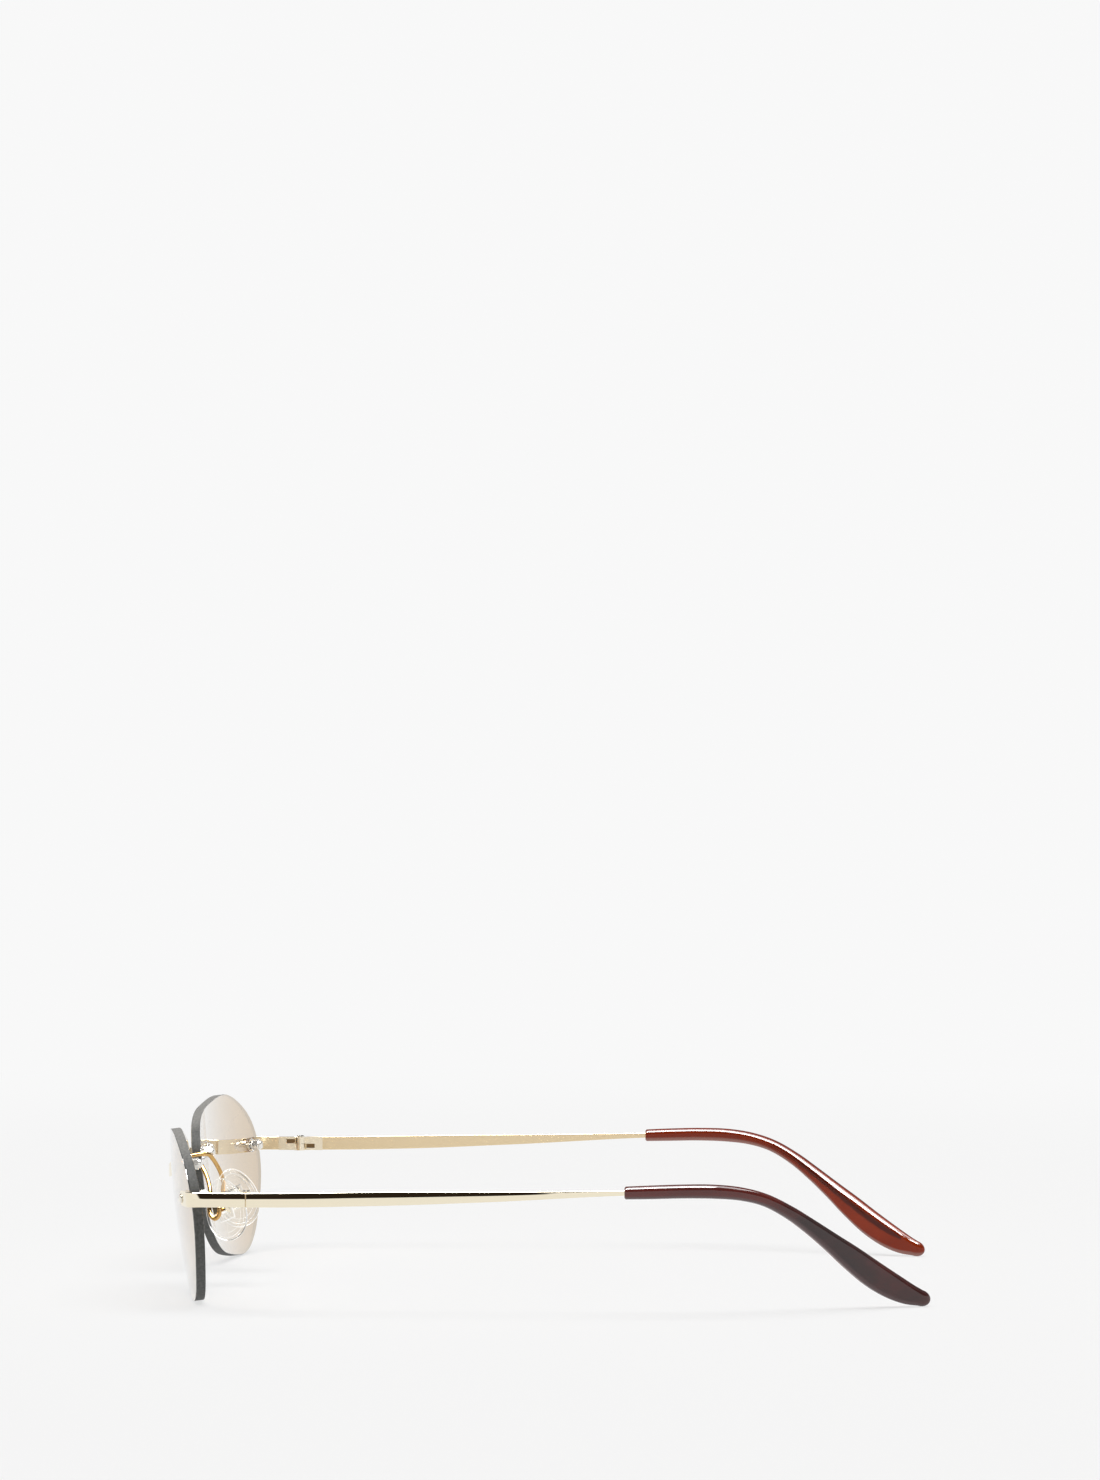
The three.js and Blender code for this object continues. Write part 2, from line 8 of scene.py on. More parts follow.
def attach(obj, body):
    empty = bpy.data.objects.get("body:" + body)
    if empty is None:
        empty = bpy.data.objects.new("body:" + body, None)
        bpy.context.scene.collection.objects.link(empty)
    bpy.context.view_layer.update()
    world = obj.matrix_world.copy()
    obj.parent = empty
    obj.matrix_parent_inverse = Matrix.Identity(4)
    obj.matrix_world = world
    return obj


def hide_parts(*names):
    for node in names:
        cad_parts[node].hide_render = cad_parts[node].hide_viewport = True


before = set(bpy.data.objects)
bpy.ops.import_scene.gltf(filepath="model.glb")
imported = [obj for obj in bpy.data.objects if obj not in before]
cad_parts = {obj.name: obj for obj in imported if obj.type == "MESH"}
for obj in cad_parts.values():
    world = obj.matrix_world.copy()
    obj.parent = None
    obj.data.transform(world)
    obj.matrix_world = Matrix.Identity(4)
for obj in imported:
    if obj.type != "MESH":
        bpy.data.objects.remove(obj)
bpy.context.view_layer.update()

# Lengths are in millimetres. Pieces are modelled for the left side, and place() moves them into
# the row frame, in metres, mirrored for the right side.
MM = 0.001
MIDDLE_Y = 67.48  # y of the middle of the bounding box in the modelling frame
SIDES = {"left": 1, "right": -1}
WHITE = 0.94  # the backdrop


# ---- small tools ------------------------------------------------------------------------


def lerp(a, b, t):
    return a + (b - a) * t


def catmull(rows, per_segment, closed=False, power=0.25):
    """Points through rows of numbers; power 0.25 is centripetal, 0 uniform."""
    rows = [tuple(map(float, row)) for row in rows]
    count = len(rows)
    segments = count if closed else count - 1

    def at(i):
        if closed:
            return rows[i % count]
        if i < 0:
            return tuple(2 * a - b for a, b in zip(rows[0], rows[1]))
        if i >= count:
            return tuple(2 * a - b for a, b in zip(rows[-1], rows[-2]))
        return rows[i]

    points = []
    for i in range(segments):
        p = [at(i + k) for k in (-1, 0, 1, 2)]
        gaps = [
            max(sum((a - b) ** 2 for a, b in zip(p[k], p[k + 1])) ** power, 1e-4)
            for k in range(3)
        ]
        for step in range(per_segment):
            t = step / per_segment
            point = []
            for x0, x1, x2, x3 in zip(*p):
                m1 = (x1 - x0) / gaps[0] - (x2 - x0) / (gaps[0] + gaps[1]) + (x2 - x1) / gaps[1]
                m2 = (x2 - x1) / gaps[1] - (x3 - x1) / (gaps[1] + gaps[2]) + (x3 - x2) / gaps[2]
                m1 *= gaps[1]
                m2 *= gaps[1]
                c2 = -3 * x1 + 3 * x2 - 2 * m1 - m2
                c3 = 2 * x1 - 2 * x2 + m1 + m2
                point.append(x1 + t * (m1 + t * (c2 + t * c3)))
            points.append(tuple(point))
    if not closed:
        points.append(rows[-1])
    return points


def bezier(a, b, c, steps):
    """Points from a to c, pulled towards b."""
    return [
        a * (1 - i / steps) ** 2 + b * (2 * (1 - i / steps) * i / steps) + c * (i / steps) ** 2
        for i in range(steps + 1)
    ]


def loft(rings):
    """Closed mesh data through rings with the same number of points."""
    count = len(rings[0])
    verts = [Vector(p) for ring in rings for p in ring]
    faces = []
    for i in range(len(rings) - 1):
        for j in range(count):
            k = (j + 1) % count
            a, b = i * count, (i + 1) * count
            faces.append((a + j, a + k, b + k, b + j))
    for ring, first in ((rings[0], 0), (rings[-1], (len(rings) - 1) * count)):
        centre = len(verts)
        verts.append(sum((Vector(p) for p in ring), Vector()) / count)
        faces.extend((centre, first + j, first + (j + 1) % count) for j in range(count))
    return verts, faces


def plain_mesh(name, data, matrix=None):
    """Mesh from (verts, faces), with its faces turned outward."""
    mesh = bpy.data.meshes.new(name)
    verts, faces = data
    mesh.from_pydata([tuple(v) for v in verts], [], faces)
    if matrix is not None:
        mesh.transform(matrix)
    bm = bmesh.new()
    bm.from_mesh(mesh)
    bmesh.ops.remove_doubles(bm, verts=bm.verts, dist=1e-5)
    bmesh.ops.recalc_face_normals(bm, faces=bm.faces)
    bm.to_mesh(mesh)
    bm.free()
    return mesh


def solid(base, add=(), cut=(), bevel=0.0, angle=35):
    """base with meshes added and cut away, then its sharp edges rounded by bevel."""
    scene = bpy.context.scene
    target = bpy.data.objects.new("work", base)
    scene.collection.objects.link(target)
    helpers = []
    for mesh, operation in [(m, "UNION") for m in add] + [(m, "DIFFERENCE") for m in cut]:
        helper = bpy.data.objects.new("helper", mesh)
        scene.collection.objects.link(helper)
        helpers.append(helper)
        modifier = target.modifiers.new("combine", "BOOLEAN")
        modifier.operation = operation
        modifier.object = helper
        modifier.solver = "EXACT"
    if bevel:
        modifier = target.modifiers.new("round", "BEVEL")
        modifier.width = bevel
        modifier.segments = 3
        modifier.limit_method = "ANGLE"
        modifier.angle_limit = math.radians(angle)
    bpy.context.view_layer.update()
    graph = bpy.context.evaluated_depsgraph_get()
    result = bpy.data.meshes.new_from_object(target.evaluated_get(graph), depsgraph=graph)
    for o in [target, *helpers]:
        bpy.data.objects.remove(o)
    return result


def box_mesh(low, high):
    (x0, y0, z0), (x1, y1, z1) = low, high
    verts = [(x, y, z) for z in (z0, z1) for x, y in ((x0, y0), (x1, y0), (x1, y1), (x0, y1))]
    faces = [(0, 1, 2, 3), (4, 5, 6, 7), (0, 1, 5, 4), (1, 2, 6, 5), (2, 3, 7, 6), (3, 0, 4, 7)]
    return plain_mesh("box", (verts, faces))


def turned(profile, sides=48, matrix=None):
    """Turned piece about +Z from (radius, z) points that end on the axis or where they began."""
    closed = profile[0] == profile[-1]
    rows = profile[:-1] if closed else profile
    verts, faces, rings = [], [], []
    for r, z in rows:
        if r < 1e-6:
            rings.append([len(verts)] * sides)
            verts.append((0, 0, z))
        else:
            rings.append(list(range(len(verts), len(verts) + sides)))
            verts.extend(
                (r * math.cos(2 * math.pi * k / sides), r * math.sin(2 * math.pi * k / sides), z)
                for k in range(sides)
            )
    pairs = list(zip(rings, rings[1:])) + ([(rings[-1], rings[0])] if closed else [])
    for a, b in pairs:
        for k in range(sides):
            n = (k + 1) % sides
            face = []
            for v in (a[k], a[n], b[n], b[k]):
                if v not in face:
                    face.append(v)
            if len(face) > 2:
                faces.append(face)
    return plain_mesh("turned", (verts, faces), matrix)


def rod(radius, z0, z1, matrix=None, sides=48):
    return turned([(0, z0), (radius, z0), (radius, z1), (0, z1)], sides, matrix)


def place(name, mesh, side, body, node, slot, *materials, sharp=30, weighted=True):
    """Finished piece in the row frame, riding its body in place of its CAD node."""
    sign = SIDES[side]
    mesh.transform(
        Matrix.Diagonal((sign * MM, MM, MM, 1)) @ Matrix.Translation((0, -MIDDLE_Y, 0))
    )
    if sign < 0:
        mesh.flip_normals()
    for polygon in mesh.polygons:
        polygon.use_smooth = True
    mesh.set_sharp_from_angle(angle=math.radians(sharp))
    mesh.name = name
    mesh.materials.clear()
    for material in materials:
        mesh.materials.append(material)
    obj = bpy.data.objects.new(name, mesh)
    bpy.context.scene.collection.objects.link(obj)
    if weighted:
        modifier = obj.modifiers.new("flat faces first", "WEIGHTED_NORMAL")
        modifier.keep_sharp = True
    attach(obj, body)
    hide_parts(node)


# ---- materials --------------------------------------------------------------------------
# The material that a helper takes can be a world as well.


def principled(name, color, roughness, **more):
    """Principled material; further sockets by name, with _ for each space."""
    material = bpy.data.materials.new(name)
    material.use_nodes = True
    shader = material.node_tree.nodes["Principled BSDF"]
    shader.inputs["Base Color"].default_value = (*color, 1)
    shader.inputs["Roughness"].default_value = roughness
    for key, value in more.items():
        shader.inputs[key.replace("_", " ")].default_value = value
    return material


def add_node(material, kind, **inputs):
    node = material.node_tree.nodes.new(kind)
    for key, value in inputs.items():
        node.inputs[key.replace("_", " ")].default_value = value
    return node


def link(material, source, target):
    material.node_tree.links.new(source, target)


def blend_color(material, factor, first, second):
    """Colour between two, each a colour or a socket, by a factor socket."""
    mix = material.node_tree.nodes.new("ShaderNodeMix")
    mix.data_type = "RGBA"
    link(material, factor, mix.inputs[0])
    for index, value in ((6, first), (7, second)):
        if isinstance(value, tuple):
            mix.inputs[index].default_value = (*value, 1)
        else:
            link(material, value, mix.inputs[index])
    return mix.outputs[2]


def noise(material, scale, detail=3.0, stretch=(1, 1, 1), roughness=0.55):
    coords = material.node_tree.nodes.new("ShaderNodeTexCoord")
    mapping = add_node(material, "ShaderNodeMapping", Scale=stretch)
    texture = add_node(
        material, "ShaderNodeTexNoise", Scale=scale, Detail=detail, Roughness=roughness
    )
    link(material, coords.outputs["Object"], mapping.inputs["Vector"])
    link(material, mapping.outputs["Vector"], texture.inputs["Vector"])
    return texture.outputs["Fac"]


def map_range(material, value, low, high, out_low=0.0, out_high=1.0):
    node = material.node_tree.nodes.new("ShaderNodeMapRange")
    node.interpolation_type = "SMOOTHSTEP"
    link(material, value, node.inputs["Value"])
    for key, number in (
        ("From Min", low),
        ("From Max", high),
        ("To Min", out_low),
        ("To Max", out_high),
    ):
        node.inputs[key].default_value = number
    return node.outputs["Result"]


def shader_inputs(material):
    return material.node_tree.nodes["Principled BSDF"].inputs


def bump(material, height, strength, distance):
    node = add_node(material, "ShaderNodeBump", Strength=strength, Distance=distance)
    link(material, height, node.inputs["Height"])
    link(material, node.outputs["Normal"], shader_inputs(material)["Normal"])


GOLD = principled("gold", (0.91, 0.83, 0.65), 0.045, Metallic=1.0)
# The inward faces take a darker, rougher gold: the darkening is painted shade, standing for the
# dim surroundings those faces reflect.
GOLD_INSIDE_PAINTED_SHADE = principled("gold_inside_painted_shade", (0.78, 0.63, 0.41), 0.26, Metallic=1.0)
HARDWARE = principled("hardware", (0.86, 0.82, 0.73), 0.12, Metallic=1.0)
# The pad arms take a darker, more orange gold: the darkening is painted shade, standing for dim
# reflections along the wire.
ARM_GOLD_PAINTED_SHADE = principled("arm_gold_painted_shade", (0.64, 0.4, 0.15), 0.15, Metallic=1.0)
LEAF_GOLD = principled("leaf_gold", (0.9, 0.81, 0.64), 0.17, Metallic=1.0)
NUT = principled("nut", (0.93, 0.92, 0.88), 0.26, Metallic=0.65)
LENS_FACE = principled(
    "lens_face", (0.74, 0.67, 0.55), 0.0, IOR=1.55, Transmission_Weight=1.0, Coat_Weight=1.0,
    Coat_Roughness=0.0, Coat_IOR=1.8,
)  # fmt: skip


def tint_lens_with_painted_reflection():
    """A tint that deepens towards the temples and is paler towards the nose, the paler side a
    painted reflection standing for the whiter glancing reflection there.
    """
    coords = LENS_FACE.node_tree.nodes.new("ShaderNodeTexCoord")
    split = LENS_FACE.node_tree.nodes.new("ShaderNodeSeparateXYZ")
    link(LENS_FACE, coords.outputs["Object"], split.inputs[0])
    size = LENS_FACE.node_tree.nodes.new("ShaderNodeMath")
    size.operation = "ABSOLUTE"
    link(LENS_FACE, split.outputs["X"], size.inputs[0])
    depth = map_range(LENS_FACE, size.outputs[0], 0.01, 0.06)
    # Paler towards the nose as painted reflection, deeper towards the temples.
    color = blend_color(LENS_FACE, depth, (0.71, 0.67, 0.6), (0.64, 0.48, 0.3))
    link(LENS_FACE, color, shader_inputs(LENS_FACE)["Base Color"])


tint_lens_with_painted_reflection()


def clear_with_painted_glow(name, low, high, strength):
    """Clear soft plastic: see-through face on, bright towards its outlines and ridges with a
    painted highlight of white and a painted glow.
    """
    material = bpy.data.materials.new(name)
    material.use_nodes = True
    tree = material.node_tree
    tree.nodes.clear()
    output = tree.nodes.new("ShaderNodeOutputMaterial")
    through = add_node(material, "ShaderNodeBsdfTransparent", Color=(0.985, 0.983, 0.975, 1))
    white = add_node(material, "ShaderNodeBsdfDiffuse", Color=(0.95, 0.95, 0.94, 1))
    # Painted glow: an emission that stands for light caught by the edges, though the piece is no
    # lamp.
    lit = add_node(material, "ShaderNodeEmission", Color=(1, 0.995, 0.98, 1), Strength=strength)
    bright = tree.nodes.new("ShaderNodeAddShader")
    weight = add_node(material, "ShaderNodeLayerWeight", Blend=0.5)
    body = tree.nodes.new("ShaderNodeMixShader")
    gloss = add_node(material, "ShaderNodeBsdfGlossy", Color=(1, 1, 1, 1), Roughness=0.05)
    fresnel = add_node(material, "ShaderNodeFresnel", IOR=1.22)
    surface = tree.nodes.new("ShaderNodeMixShader")
    link(material, white.outputs[0], bright.inputs[0])
    link(material, lit.outputs[0], bright.inputs[1])
    # Painted highlight: white and glow take over towards the outlines.
    share = map_range(material, weight.outputs["Facing"], low, high, 0.04, 0.8)
    link(material, share, body.inputs[0])
    link(material, through.outputs[0], body.inputs[1])
    link(material, bright.outputs[0], body.inputs[2])
    link(material, fresnel.outputs[0], surface.inputs[0])
    link(material, body.outputs[0], surface.inputs[1])
    link(material, gloss.outputs[0], surface.inputs[2])
    link(material, surface.outputs[0], output.inputs["Surface"])
    return material


CLEAR = clear_with_painted_glow("clear_plastic", 0.2, 0.9, 0.35)
SILICONE = clear_with_painted_glow("silicone", 0.38, 0.8, 0.6)
# Dark brown gold for the hinge pockets: painted shade in the recess.
RECESS_PAINTED_SHADE = principled("hinge_recess_painted_shade", (0.24, 0.15, 0.07), 0.4, Metallic=1.0)


def lens_edge_material():
    """Frosted dark edge, lighter where it faces up as painted light from above, and with a painted
    glow, an emission, where its inner side is seen through the lens.
    """
    material = principled("lens_edge", (0.08, 0.08, 0.077), 0.62, Specular_IOR_Level=0.2)
    normal = material.node_tree.nodes.new("ShaderNodeNewGeometry")
    split = material.node_tree.nodes.new("ShaderNodeSeparateXYZ")
    link(material, normal.outputs["Normal"], split.inputs[0])
    # Painted light: faces that point up are lighter.
    upward = map_range(material, split.outputs["Z"], 0.75, 1.0)
    speckle = noise(material, 2100, 3)
    dark = blend_color(material, speckle, (0.015, 0.017, 0.016), (0.15, 0.15, 0.142))
    light = blend_color(material, speckle, (0.1, 0.1, 0.095), (0.4, 0.39, 0.37))
    outside = blend_color(material, upward, dark, light)
    link(material, outside, shader_inputs(material)["Base Color"])
    bump(material, speckle, 0.3, 0.00004)
    tree = material.node_tree
    # Painted glow: the back-facing side is an emission, standing for light through the lens.
    through = add_node(
        material, "ShaderNodeEmission", Color=(0.62, 0.56, 0.46, 1), Strength=0.9
    )
    mix = tree.nodes.new("ShaderNodeMixShader")
    link(material, normal.outputs["Backfacing"], mix.inputs[0])
    link(material, tree.nodes["Principled BSDF"].outputs[0], mix.inputs[1])
    link(material, through.outputs[0], mix.inputs[2])
    link(material, mix.outputs[0], tree.nodes["Material Output"].inputs["Surface"])
    return material


def up_facing(material, low, high, out_low=0.0, out_high=1.0):
    """out_low to out_high as the upward part of the normal goes from low to high."""
    normal = material.node_tree.nodes.new("ShaderNodeNewGeometry")
    split = material.node_tree.nodes.new("ShaderNodeSeparateXYZ")
    link(material, normal.outputs["Normal"], split.inputs[0])
    return map_range(material, split.outputs["Z"], low, high, out_low, out_high)


def shiny_top(material, side, top):
    """Stronger reflections where the surface faces up, weaker ones on its sides."""
    level = up_facing(material, 0.25, 0.5, side, top)
    link(material, level, shader_inputs(material)["Specular IOR Level"])


def acetate_outside():
    """Nearly black red-brown with faint swirls, paler on faces that point down as a painted
    reflection of the floor.
    """
    material = principled("acetate_outside", (0.03, 0.01, 0.009), 0.04, IOR=1.55)
    shiny_top(material, 0.5, 0.8)
    swirl = noise(material, 70, 4, (1, 0.35, 1))
    spread = map_range(material, swirl, 0.4, 0.68)
    color = blend_color(material, spread, (0.036, 0.018, 0.018), (0.13, 0.024, 0.02))
    # Painted reflection: faces that point down are paler, standing for the bright floor.
    painted_floor_reflection = up_facing(material, -0.3, -0.7)
    color = blend_color(material, painted_floor_reflection, color, (0.09, 0.05, 0.05))
    link(material, color, shader_inputs(material)["Base Color"])
    return material


def acetate_inside():
    """Red-brown acetate, its glow painted into the colour for light passing through it, darker
    over the core wire, and paler and duller on faces that point down as a painted reflection of
    the floor.
    """
    material = principled("acetate_inside", (0.2, 0.03, 0.012), 0.04, IOR=1.55)
    shiny_top(material, 0.22, 0.9)
    swirl = noise(material, 60, 4, (1, 0.3, 1))
    glow = blend_color(
        material, map_range(material, swirl, 0.35, 0.7), (0.2, 0.019, 0.004), (0.31, 0.036, 0.008)
    )
    core = material.node_tree.nodes.new("ShaderNodeAttribute")
    core.attribute_name = "core"
    color = blend_color(material, core.outputs["Fac"], glow, (0.085, 0.012, 0.006))
    # Painted reflection: faces that point down are paler, standing for the bright floor.
    painted_floor_reflection = up_facing(material, -0.15, -0.5)
    rim = blend_color(material, painted_floor_reflection, color, (0.3, 0.14, 0.115))
    link(material, rim, shader_inputs(material)["Base Color"])
    return material


LENS_EDGE = lens_edge_material()
ACETATE_OUT = acetate_outside()
ACETATE_IN = acetate_inside()

# ---- sections and sweeps ----------------------------------------------------------------


def rounded(corners, steps=4):
    """Polygon with rounded corners from [x, y, how far the rounding reaches] rows."""
    points = []
    count = len(corners)
    for i, (x, y, reach) in enumerate(corners):
        here = Vector((x, y))
        before = Vector(corners[i - 1][:2]) - here
        after = Vector(corners[(i + 1) % count][:2]) - here
        a = here + before.normalized() * min(reach, before.length * 0.45)
        b = here + after.normalized() * min(reach, after.length * 0.45)
        for k in range(steps + 1):
            t = k / steps
            points.append(a * (1 - t) ** 2 + here * (2 * t * (1 - t)) + b * t**2)
    return [(p.x, p.y) for p in points]


def strip_section(thickness, height, roof, edge=0.2):
    a, b = thickness / 2, height / 2
    e = min(edge, a * 0.8, b * 0.8)
    return rounded(
        [
            (-a, -b, e * 0.8),
            (a, -b, e),
            (a, b * 0.16, 0.05),
            (a - roof, b, e),
            (-a, b, e * 0.8),
        ]
    )


def sweep(stations):
    """Rings at (middle, up, section) stations; a section point is (outward, upward)."""
    rings = []
    last = len(stations) - 1
    for i, (at, up, section) in enumerate(stations):
        along = (stations[min(i + 1, last)][0] - stations[max(i - 1, 0)][0]).normalized()
        outward = along.cross(up).normalized()
        upward = outward.cross(along)
        rings.append([at + outward * a + upward * b for a, b in section])
    return rings


def tube(route, radius, sides=20):
    """Round wire along a route, with rounded ends."""
    points = [Vector(p) for p in route]
    last = len(points) - 1
    directions = [
        (points[min(i + 1, last)] - points[max(i - 1, 0)]).normalized() for i in range(last + 1)
    ]
    ends = [(0.98, 0.2), (0.85, 0.53), (0.6, 0.8), (0.3, 0.954)]
    rows = [(points[0] - directions[0] * radius * k, r * radius, 0) for k, r in ends]
    rows += [(p, radius, i) for i, p in enumerate(points)]
    rows += [(points[-1] + directions[-1] * radius * k, r * radius, last) for k, r in ends[::-1]]
    side = directions[0].orthogonal().normalized()
    rings = []
    for at, r, i in rows:
        side = (side - directions[i] * side.dot(directions[i])).normalized()
        other = directions[i].cross(side)
        rings.append(
            [
                at
                + side * (r * math.cos(2 * math.pi * k / sides))
                + other * (r * math.sin(2 * math.pi * k / sides))
                for k in range(sides)
            ]
        )
    return rings


# ---- lens -------------------------------------------------------------------------------

UP = Vector((0, 0, 1))
RADIUS, THICK = 149, 1.9  # of the lens
SMOOTHINGS = 14  # passes over the outline
HOLE_RADIUS, LUG_BORE = 0.85, 0.5
LENS_CENTRE = Vector((38.5, -3.2, 16.54))
LENS_OUTLINE = [
    (28.8, 0.1), (28.2, 5.6), (25.1, 10.2), (20.3, 13.2), (15.2, 15.2), (9.8, 16.4), (4.1, 16.5),
    (-1.6, 16), (-7.3, 15.5), (-13, 15), (-18.6, 14), (-24, 12.3), (-28, 8.7), (-28.8, 3.2),
    (-27, -2.1), (-23.5, -6.6), (-19, -10.1), (-13.9, -12.7), (-8.6, -14.6), (-3, -15.6),
    (2.7, -16.3), (8.4, -16.8), (14, -16), (19.1, -13.5), (23.3, -9.7), (26.7, -5.2),
]  # fmt: skip
TEMPORAL_HOLE, NASAL_HOLE = (24.2, 4.6), (-24.6, 6.9)
WRAP, TILT = 6.8, 6.9  # degrees
LENS_MATRIX = (
    Matrix.Translation(LENS_CENTRE)
    @ Matrix.Rotation(math.radians(WRAP), 4, "Z")
    @ Matrix.Rotation(math.radians(TILT), 4, "X")
)
LUG_THICK, LUG_GAP, LUG_RADIUS = 0.95, 0.06, 1.48


def sag(u, v, inset=0.0):
    """Depth of the lens front, or of the surface inset behind it, at u, v on the lens."""
    return RADIUS - math.sqrt((RADIUS - inset) ** 2 - u * u - v * v)


def hole_frame(u, v):
    """Frame on the lens front at u, v, with +Z into the lens."""
    depth = sag(u, v)
    inward = Vector((-u, RADIUS - depth, -v)).normalized()
    turn = UP.rotation_difference(inward).to_matrix().to_4x4()
    return LENS_MATRIX @ Matrix.Translation((u, depth, v)) @ turn


def lens(side):
    rim = catmull(LENS_OUTLINE, 7, closed=True)
    for _ in range(SMOOTHINGS):
        trios = zip(rim[-1:] + rim[:-1], rim, rim[1:] + rim[:1])
        rim = [tuple((a + 2 * b + c) / 4 for a, b, c in zip(*trio)) for trio in trios]

    def ring(scale, inset, shift=0.0):
        return [(u * scale, sag(u * scale, v * scale, inset) + shift, v * scale) for u, v in rim]

    steps = [0.06, 0.16, 0.3, 0.44, 0.58, 0.7, 0.8, 0.88, 0.94, 0.975, 0.993]
    front = [ring(s, 0) for s in steps]
    edge = [ring(0.998, 0, 0.04), ring(1, 0, 0.16)]
    edge += [ring(1, THICK, -0.16), ring(0.998, THICK, -0.04)]
    back = [ring(s, THICK) for s in reversed(steps)]
    blank = plain_mesh("lens", loft(front + edge + back), LENS_MATRIX)
    holes = [rod(HOLE_RADIUS, -1, THICK + 1, hole_frame(*h)) for h in (TEMPORAL_HOLE, NASAL_HOLE)]
    mesh = solid(blank, cut=holes)
    place(
        f"{side}_lens_fine", mesh, side, "front", f"{side}_lens", "lens_resin",
        LENS_FACE, LENS_EDGE, weighted=False,
    )  # fmt: skip
    # Faces along the spheres are clear and take exact normals; the rim and bores are frosted.
    middle = LENS_MATRIX @ Vector((0, RADIUS, 0))
    middle = Vector((SIDES[side] * middle.x, middle.y - MIDDLE_Y, middle.z)) * MM
    normals = [None] * len(mesh.loops)
    for polygon in mesh.polygons:
        facing = polygon.normal.dot((polygon.center - middle).normalized())
        polygon.material_index = 0 if abs(facing) > 0.45 else 1
        for loop in polygon.loop_indices:
            out = mesh.vertices[mesh.loops[loop].vertex_index].co - middle
            out = out.normalized() * (1 if facing > 0 else -1)
            normals[loop] = out if abs(facing) > 0.9 else polygon.normal.copy()
    mesh.normals_split_custom_set(normals)


# ---- screws, bushes and nuts ------------------------------------------------------------


def fasteners(side, where, hole):
    """Screw from the front through the bush, washer and cap nut at the back of the lens."""
    matrix = hole_frame(*hole)
    face = -LUG_THICK - LUG_GAP
    back = THICK
    head = turned(
        [
            (0, face - 0.45), (0.25, face - 0.44), (0.5, face - 0.39), (0.7, face - 0.3),
            (0.84, face - 0.19), (0.9, face - 0.1), (0.9, face - 0.05), (0.88, face - 0.03),
            (0.44, face - 0.03), (0.44, back + 1.95), (0.34, back + 2.1), (0, back + 2.1),
        ]
    )  # fmt: skip
    slot_cut = box_mesh((-1, -0.11, face - 0.6), (1, 0.11, face - 0.24))
    screw = solid(head, cut=[slot_cut])
    bush = turned(
        [
            (0.5, 0.1), (0.78, 0.1), (0.78, back + 0.08), (1.34, back + 0.08),
            (1.4, back + 0.14), (1.4, back + 0.44), (1.34, back + 0.55), (1.25, back + 0.62),
            (0.5, back + 0.62), (0.5, 0.1),
        ]
    )  # fmt: skip
    washer = turned(
        [
            (0.52, back + 0.68), (1.12, back + 0.68), (1.15, back + 0.71), (1.15, back + 0.85),
            (1.12, back + 0.88), (0.52, back + 0.88), (0.52, back + 0.68),
        ]
    )  # fmt: skip
    dome = turned(
        [
            (0, back + 1.5), (0.92, back + 1.5), (0.92, back + 2.2), (0.89, back + 2.33),
            (0.8, back + 2.48), (0.66, back + 2.6), (0.48, back + 2.69), (0.25, back + 2.745),
            (0, back + 2.76),
        ]
    )  # fmt: skip
    nut = solid(
        rod(1.22, back + 0.94, back + 1.95, sides=6),
        add=[dome],
        cut=[rod(0.5, back + 0.5, back + 2.2)],
        bevel=0.07,
        angle=28,
    )
    for word, mesh, look, kind in (
        ("screw", screw, HARDWARE, "polished_hardware"),
        ("bush", bush, CLEAR, "clear_plastic"),
        ("washer", washer, NUT, "polished_hardware"),
        ("nut", nut, NUT, "polished_hardware"),
    ):
        mesh.transform(matrix)
        node = f"{side}_{where}_{word}"
        place(f"{node}_fine", mesh, side, "front", node, kind, look)


# ---- endpiece and bridge ----------------------------------------------------------------

# The strip of the endpiece and temple: its middle, height, thickness and sloping top at the seam
STRIP_X, STRIP_Z, STRIP_HIGH, STRIP_THICK, ROOF = 68.6, 21.5, 2.76, 1.2, 0.36
SEAM_Y = 13


def lug_station(u, v, section):
    """Station of the lug that lies on the lens front at u, v."""
    def surface(du, dv):
        return LENS_MATRIX @ Vector((u + du, sag(u + du, v + dv), v + dv))

    at = surface(0, 0)
    up = (surface(0, 0.1) - at).normalized()
    sideways = (surface(0.1, 0) - at).normalized()
    forward = sideways.cross(up).normalized()
    return at + forward * (LUG_GAP + LUG_THICK / 2), up, section


def rounded_end(height):
    """Pairs of distance in from the round end and height there."""
    for k in range(13):
        angle = math.radians(9 + 81 * k / 12)
        yield LUG_RADIUS * (1 - math.cos(angle)), min(height, 2 * LUG_RADIUS * math.sin(angle))


